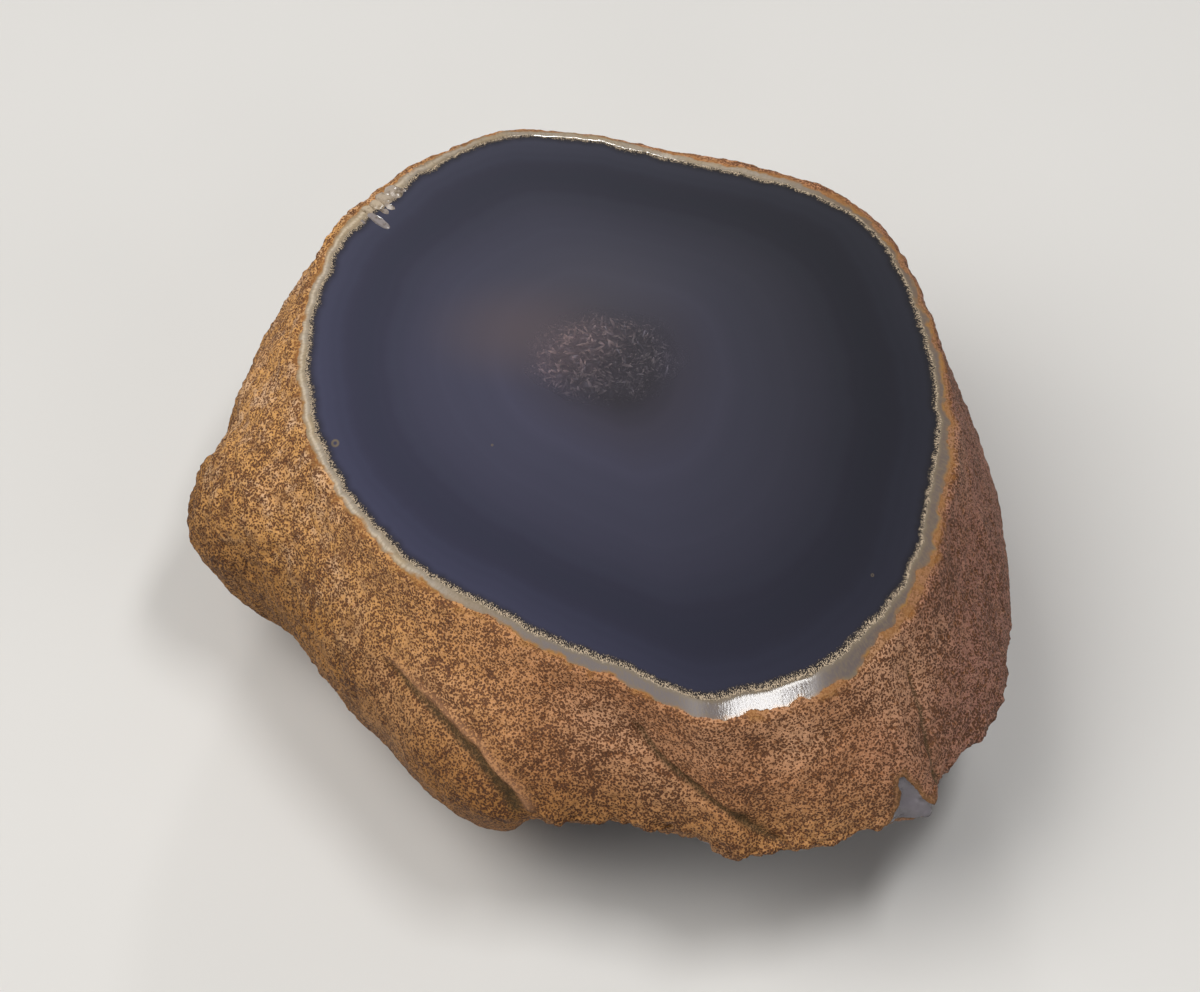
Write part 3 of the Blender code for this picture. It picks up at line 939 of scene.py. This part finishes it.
def skinBandMaterial():
    made, tree, shader, place = newMaterial("skin_band")
    surface = chalcedonyColour(tree, place)
    right, back, _ = axes(tree, place)
    inward = painted(tree, "inward")
    past = sums(tree, "SUBTRACT", inward, painted(tree, "band"))
    ring = add(tree, "ShaderNodeCombineXYZ", {
        0: times(tree, painted(tree, "ringX"), mm),
        1: times(tree, painted(tree, "ringY"), mm),
        2: times(tree, inward, skinBand["fibreLength"] * mm),
    }).outputs[0]
    fibres = grain(tree, ring, *skinBand["fibres"])
    threads = grain(tree, ring, *skinBand["threads"])
    wobble = grain(tree, place, *skinBand["wobble"])
    ragged = sums(tree, "ADD", past, offset(tree, wobble, skinBand["wobbleShift"]))
    ragged = sums(tree, "ADD", ragged, offset(tree, threads, skinBand["threadShift"]))
    surface = blend(tree, spread(tree, past, *skinBand["haloReach"]), surface, skinBand["halo"])

    # the bristle: pale dots on dark, which thin out inwards
    reach = spread(tree, back, *skinBand["bristleFront"], *skinBand["bristleReach"])
    zone = spread(tree, sums(tree, "SUBTRACT", ragged, reach), *skinBand["bristleFade"])
    surface = blend(tree, times(tree, zone, skinBand["gapShare"]), surface, skinBand["bristleGap"])
    thinned = spread(tree, ragged, 0.0, reach, *skinBand["bristleThin"], False)
    tips = spread(tree, sums(tree, "SUBTRACT", fibres, thinned), 0.0, skinBand["bristleSharp"])
    surface = blend(tree, times(tree, tips, zone), surface, skinBand["bristle"])

    paintedShadeRight = spread(tree, right, *skinBand["toRight"])
    cream = bandCream(tree, place, inward, threads, paintedShadeRight)
    inBand = spread(tree, ragged, *skinBand["bandFade"])
    surface = blend(tree, inBand, surface, cream)

    # the rind that laps onto the edge, with ochre along it
    lapped = sums(tree, "SUBTRACT", inward, painted(tree, "lap"))
    lapped = sums(tree, "ADD", lapped, offset(tree, wobble, skinBand["lapWobble"]))
    uneven = offset(tree, grain(tree, place, *skinBand["lapGrain"]), skinBand["lapShift"])
    lapped = sums(tree, "ADD", lapped, uneven)
    patchy = spread(tree, grain(tree, place, *skinBand["ochreGrain"]), *skinBand["ochreShare"])
    stained = times(tree, spread(tree, lapped, *skinBand["ochreReach"]), patchy)
    surface = blend(tree, stained, surface, skinBand["ochre"])
    skin, pits, _ = rindSkin(tree, place)
    skin = rimStained(tree, place, skin, pits, times(tree, inward, skinBand["lapBelow"]))
    # painted shade: the rind on the edge darkened at the right, like the wall there
    skin = blend(tree, times(tree, paintedShadeRight, skinBand["lapShadeRight"]), skin, rind["umber"])
    rindy = spread(tree, lapped, *skinBand["lapFade"])
    surface = blend(tree, rindy, surface, skin)

    onBand = spread(tree, ragged, *skinBand["roughFade"])
    roughs = {0: onBand, 2: chalcedony["roughness"], 3: bandRoughness(tree, place)}
    gloss = add(tree, "ShaderNodeMix", roughs).outputs[0]
    gloss = sums(tree, "MAXIMUM", gloss, times(tree, rindy, skinBand["lapRoughness"]))
    raised = times(tree, threads, inBand)
    raised = sums(tree, "MULTIPLY_ADD", times(tree, pits, rindy), skinBand["pitRelief"], raised)
    lifted = add(tree, "ShaderNodeBump", {"Distance": skinBand["relief"], "Height": raised}).outputs[0]
    link(tree, shader, {"Base Color": surface, "Roughness": gloss, "Normal": lifted})
    shader.inputs["IOR"].default_value = chalcedony["ior"]
    return made


def faceMaterial():
    made, tree, shader, place = newMaterial("polished_chalcedony")
    surface = chalcedonyColour(tree, place)
    for glow, shade in (("pale", "paleGlow"), ("warm", "warmGlow")):
        at, squeeze, strength = chalcedony[glow]
        glowing = spread(tree, farFrom(tree, place, at, squeeze), *strength)
        surface = blend(tree, glowing, surface, chalcedony[shade])
    squeeze = (1.0 / face["druseReach"][0], 1.0 / face["druseReach"][1])
    far = farFrom(tree, place, face["druseAt"], squeeze)
    uneven = offset(tree, grain(tree, place, *chalcedony["windowGrain"]), chalcedony["windowShift"])
    window = spread(tree, sums(tree, "ADD", far, uneven), *chalcedony["window"])
    # the clear part is lightened, so that the haze over the druse keeps its shade
    hazy = sums(tree, "DIVIDE", 1.0, sums(tree, "SUBTRACT", 1.0, window))
    surface = vectors(tree, "SCALE", {0: surface, "Scale": hazy})
    link(tree, shader, {"Base Color": surface, "Transmission Weight": window})
    shader.inputs["Roughness"].default_value = chalcedony["roughness"]
    shader.inputs["IOR"].default_value = chalcedony["ior"]
    return made


polishedPiece("skin_band", stripInward, skinBandMaterial(), "skin_band")
polishedPiece("polished_face", faceInward, faceMaterial(), "chalcedony")
print("face polished")


# A six-sided crystal with a pointed end, or a rounded lump, lying along a line
# rings: how far along, and how wide there
pointed = {"sides": 6, "rings": ((0.0, 0.95), (0.62, 1.0), (0.86, 0.52))}
rounded = {"sides": 10, "rings": ((0.0, 0.60), (0.16, 0.95), (0.50, 1.10), (0.78, 0.88), (0.94, 0.45))}
unevenness = 0.12
sharpFrom = math.radians(40)


def crystalPoint(start, tip, width, turn, shape):
    sides, rings = shape["sides"], shape["rings"]
    along = (tip - start).normalized()
    aslant = Vector((0.3, 0.2, 1.0))
    side = along.cross(aslant).normalized()
    upward = along.cross(side)
    points = []
    for share, girth in rings:
        for k in range(sides):
            corner = math.tau * k / sides + turn
            reach = width / 2 * girth * (1.0 + unevenness * math.sin(3.1 * k + turn))
            outwards = side * math.cos(corner) + upward * math.sin(corner)
            points.append(start.lerp(tip, share) + outwards * reach)
    points += [tip, start]
    last = sides * (len(rings) - 1)
    faces = []
    for k in range(sides):
        n = (k + 1) % sides
        for low in range(0, last, sides):
            faces.append((low + k, low + n, low + sides + n, low + sides + k))
        faces.append((last + k, last + n, len(points) - 2))
        faces.append((n, k, len(points) - 1))
    return points, faces


def crystalPiece(name, crystals, label, material):
    # one mesh of many crystals, each with a value of its own
    allPoints, allFaces, values = [], [], []
    for points, faces, value in crystals:
        first = len(allPoints)
        allPoints += [tuple(p) for p in points]
        allFaces += [tuple(first + k for k in f) for f in faces]
        values += value if isinstance(value, list) else [value] * len(points)
    piece = meshPiece(name, np.array(allPoints), allFaces, None, {label: values}, material)
    piece.data.set_sharp_from_angle(angle=sharpFrom)


# The druse: a bed of small crystals a few millimetres under the face
druse = {
    "depth": 2.6,
    "halfSize": (15.0, 12.5),
    "step": 0.25,
    "count": 2700,
    "lengths": (0.7, 2.3),
    "widths": (0.20, 0.52),
    "leans": (0.0, 38.0),          # how steeply the crystals stand, in degrees
    "domed": 1.2,                  # how much lower the bed is at its rim
    "bedLumps": (1.6, 3, 31.0),    # size, octaves and seed
    "bedHeight": 0.35,
    # painted shade: the bed is darker in its hollows
    "bedHollowShade": (0.12, 0.2),
    "reach": 0.92,                 # the share of the bed that carries crystals
    "smallness": 1.6,              # how many more small crystals than large ones
    "narrowest": 0.3,
    "standing": (-0.1, 0.35),      # how high they start from the bed
    "dimness": 1.3,
    "footShadeToTipGlint": (0.25, 0.55, 0.85, 1.05),  # painted shade at the foot of a crystal, rising to a painted glint at its tip
    "seed": 7,
    # the crystals' own colours, shaded copies of them painted into their feet and hollows, and a painted
    # glint
    "brown": (0.66, 0.52, 0.41),
    "brownShaded": (0.075, 0.052, 0.044),
    "blue": (0.42, 0.39, 0.34),
    "blueShaded": (0.050, 0.047, 0.048),
    "paintedGlint": (0.95, 0.90, 0.78),
    # bluer to the right and the front: the slant of that change, its grain, and from where to where
    "bluerBack": -0.9,
    "blueGrain": (250.0, 2.0),
    "blueShift": 0.012,
    "blueFrom": (-0.013, 0.001),
    "paintedLightShare": (0.10, 0.80),
    "paintedGlintShare": (0.86, 1.0, 0.0, 0.9),
    "roughness": 0.25,
}


def druseMaterial():
    made, tree, shader, place = newMaterial("druse")
    height = painted(tree, "height")
    right, back, _ = axes(tree, place)
    blueness = sums(tree, "MULTIPLY_ADD", back, druse["bluerBack"], right)
    uneven = offset(tree, grain(tree, place, *druse["blueGrain"]), druse["blueShift"])
    blueness = spread(tree, sums(tree, "ADD", blueness, uneven), *druse["blueFrom"])
    # painted shade at the crystals' feet and in the bed's hollows, and painted glints at their tips, all by
    # the height value
    shadedLow = blend(tree, blueness, druse["brownShaded"], druse["blueShaded"])
    high = blend(tree, blueness, druse["brown"], druse["blue"])
    surface = blend(tree, spread(tree, height, *druse["paintedLightShare"]), shadedLow, high)
    surface = blend(tree, spread(tree, height, *druse["paintedGlintShare"]), surface, druse["paintedGlint"])
    link(tree, shader, {"Base Color": surface})
    shader.inputs["Roughness"].default_value = druse["roughness"]
    shader.inputs["IOR"].default_value = chalcedony["ior"]
    return made


def druseBed(finish):
    halfX, halfY = druse["halfSize"]
    xs = np.arange(-halfX, halfX, druse["step"])
    ys = np.arange(halfY, -halfY, -druse["step"])
    gridX, gridY = np.meshgrid(xs, ys)
    flat = np.stack([gridX, gridY, np.zeros_like(gridX)], axis=-1)
    rough = fractal(flat, *druse["bedLumps"])
    points = flat + np.array([*face["druseAt"], faceHeight - druse["depth"]])
    points[..., 2] += druse["bedHeight"] * rough
    points[..., 2] -= druse["domed"] * ((gridX / halfX) ** 2 + (gridY / halfY) ** 2)
    faces = gridFaces(len(ys), len(xs), False)
    # painted shade: the lower the bed, the darker
    darkest, lighter = druse["bedHollowShade"]
    values = {"height": np.clip(darkest + lighter * rough, 0.0, 1.0)}
    meshPiece("druse_bed", points, faces, None, values, finish)


def druseCrystals(finish):
    halfX, halfY = druse["halfSize"]
    draw = np.random.default_rng(druse["seed"])
    crystals = []
    for number in range(druse["count"]):
        turn = draw.uniform(0.0, math.tau)
        reach = druse["reach"] * math.sqrt(draw.uniform(0.0, 1.0))
        heading = draw.uniform(0.0, math.tau)
        lean = math.radians(draw.uniform(*druse["leans"]))
        size = draw.uniform(0.0, 1.0) ** druse["smallness"]
        length = between(druse["lengths"], size)
        width = between(druse["widths"], draw.uniform(druse["narrowest"], 1.0) * math.sqrt(size))
        bedHeight = faceHeight - druse["depth"] - druse["domed"] * reach ** 2
        start = Vector((face["druseAt"][0] + halfX * reach * math.cos(turn),
                        face["druseAt"][1] + halfY * reach * math.sin(turn),
                        bedHeight + draw.uniform(*druse["standing"])))
        level = math.cos(lean)
        pointing = Vector((math.cos(heading) * level, math.sin(heading) * level, math.sin(lean)))
        tip = start + length * pointing
        points, faces = crystalPoint(start, tip, width, turn, pointed)
        bright = draw.uniform(0.0, 1.0) ** druse["dimness"]
        # painted shade at each crystal's foot, rising to a painted glint at its tip
        *ringShades, tipGlint = druse["footShadeToTipGlint"]
        value = [bright * shade for shade in ringShades for k in range(pointed["sides"])]
        crystals.append((points, faces, value + [bright * tipGlint, 0.0]))
    crystalPiece("druse_crystals", crystals, "height", finish)


druseFinish = druseMaterial()
druseBed(druseFinish)
druseCrystals(druseFinish)
print("druse laid")


# Small quartz crystals and lumps in the hollow at the edge, half sunk in the face
edgeCrystals = {
    "cream": (0.50, 0.40, 0.28),
    "clear": (0.38, 0.35, 0.38),
    "gap": (0.13, 0.085, 0.040),
    "sunkStart": 0.40,             # how far they are sunk in the face, in their own widths
    "sunkTip": 0.24,
    "turn": 0.3,                   # how far each is turned from the one before
    "clearShare": 0.5,
    "mottles": (1100.0, 3.0, 0.6),
    "gapShare": (0.46, 0.66, 0.0, 0.7),
    "roughness": 0.18,
    # where each one starts and points, its width, and how clear it is
    "points": [
        ((-30.4, 32.5), (-29.7, 31.7), 0.70, 0.7),
        ((-25.7, 38.1), (-24.6, 37.5), 0.75, 0.5),
    ],
    "lumps": [
        ((-29.8, 33.9), (-26.4, 30.7), 1.45, 0.75),
        ((-27.3, 38.6), (-25.2, 36.3), 2.30, 0.35),
        ((-28.6, 37.2), (-26.4, 35.4), 2.00, 0.20),
        ((-29.3, 35.9), (-27.4, 34.4), 1.70, 0.10),
        ((-27.6, 35.4), (-26.0, 34.3), 1.15, 0.45),
        ((-28.2, 34.6), (-26.8, 33.5), 1.00, 0.55),
        ((-30.4, 34.8), (-28.9, 33.8), 1.20, 0.05),
    ],
}


def edgeCrystalMaterial():
    made, tree, shader, place = newMaterial("edge_quartz")
    clear = painted(tree, "clear")
    surface = blend(tree, clear, edgeCrystals["cream"], edgeCrystals["clear"])
    mottled = spread(tree, grain(tree, place, *edgeCrystals["mottles"]), *edgeCrystals["gapShare"])
    surface = blend(tree, mottled, surface, edgeCrystals["gap"])
    seenThrough = times(tree, clear, edgeCrystals["clearShare"])
    link(tree, shader, {"Base Color": surface, "Transmission Weight": seenThrough})
    shader.inputs["Roughness"].default_value = edgeCrystals["roughness"]
    shader.inputs["IOR"].default_value = chalcedony["ior"]
    return made


def edgeCrystalPiece():
    crystals = []
    for kind, shape in (("points", pointed), ("lumps", rounded)):
        for number, (start, tip, width, clear) in enumerate(edgeCrystals[kind]):
            low = Vector((*start, faceHeight - edgeCrystals["sunkStart"] * width))
            high = Vector((*tip, faceHeight - edgeCrystals["sunkTip"] * width))
            points, faces = crystalPoint(low, high, width, edgeCrystals["turn"] * number, shape)
            crystals.append((points, faces, clear))
    crystalPiece("edge_crystals", crystals, "clear", edgeCrystalMaterial())


edgeCrystalPiece()
print("edge crystals placed")


# Floor, light and camera
studio = {
    "floor": (0.70, 0.69, 0.67),
    "floorDim": 0.97,              # how dim its faint clouds are next to the rest
    "floorClouds": (14.0, 2.0),
    "floorRoughness": 0.7,
    "floorSize": 6.0,
    "floorDrop": 0.0001,
    "world": 0.14,
    "elevation": 52.0,
    "lens": 100.0,
    "sensor": 36.0,
    "distance": 404.5,             # millimetres from the face to the camera
    "aim": (0.54, -12.94),
    "litAt": (0.0, 0.0, 0.03),
    # soft lights: place, size, power and tint
    "lights": {
        "key": ((-0.55, -0.14, 0.95), (0.80, 0.80), 9.3, (1.0, 0.98, 0.95)),
        "fill": ((0.45, -0.35, 0.45), (0.40, 0.40), 0.35, (1.0, 0.97, 0.96)),
        "overhead": ((0.175, -0.05, 0.64), (0.24, 0.10), 1.4, (1.0, 1.0, 1.0)),
        "back": ((0.022, 0.72, 0.34), (0.08, 0.10), 0.80, (1.0, 1.0, 1.0)),
    },
}


def floorPiece():
    made, tree, shader, place = newMaterial("floor")
    clouds = spread(tree, grain(tree, place, *studio["floorClouds"]), 0.3, 0.7)
    dimmer = tuple(studio["floorDim"] * c for c in studio["floor"])
    shade = blend(tree, clouds, studio["floor"], dimmer)
    link(tree, shader, {"Base Color": shade, "Roughness": studio["floorRoughness"]})
    under = (0.0, 0.0, -studio["floorDrop"])
    bpy.ops.mesh.primitive_plane_add(size=studio["floorSize"], location=under)
    ground = bpy.context.object
    ground.name = "floor"
    ground.data.materials.append(made)


def softbox(name, place, size, power, tint):
    lamp = bpy.data.lights.new(name, "AREA")
    lamp.shape = "RECTANGLE"
    lamp.size, lamp.size_y = size
    lamp.energy = power
    lamp.color = tint
    holder = bpy.data.objects.new(name, lamp)
    holder.location = place
    aim = Vector(studio["litAt"]) - Vector(place)
    holder.rotation_euler = aim.to_track_quat("-Z", "Y").to_euler()
    bpy.context.scene.collection.objects.link(holder)


floorPiece()
for name, settings in studio["lights"].items():
    softbox(name, *settings)
world = bpy.data.worlds.new("studio")
world.use_nodes = True
background = world.node_tree.nodes["Background"]
background.inputs["Color"].default_value = (1.0, 1.0, 1.0, 1.0)
background.inputs["Strength"].default_value = studio["world"]
bpy.context.scene.world = world
bpy.context.scene.view_settings.view_transform = "Standard"

rise = math.radians(studio["elevation"])
aim = Vector((*studio["aim"], faceHeight)) * mm
camera = bpy.data.objects.new("camera", bpy.data.cameras.new("camera"))
camera.data.lens = studio["lens"]
camera.data.sensor_width = studio["sensor"]
camera.data.sensor_fit = "HORIZONTAL"
camera.data.clip_start = 0.01
camera.location = aim + Vector((0.0, -math.cos(rise), math.sin(rise))) * studio["distance"] * mm
camera.rotation_euler = (math.radians(90.0 - studio["elevation"]), 0.0, 0.0)
bpy.context.scene.collection.objects.link(camera)
bpy.context.scene.camera = camera

print("scene ready")
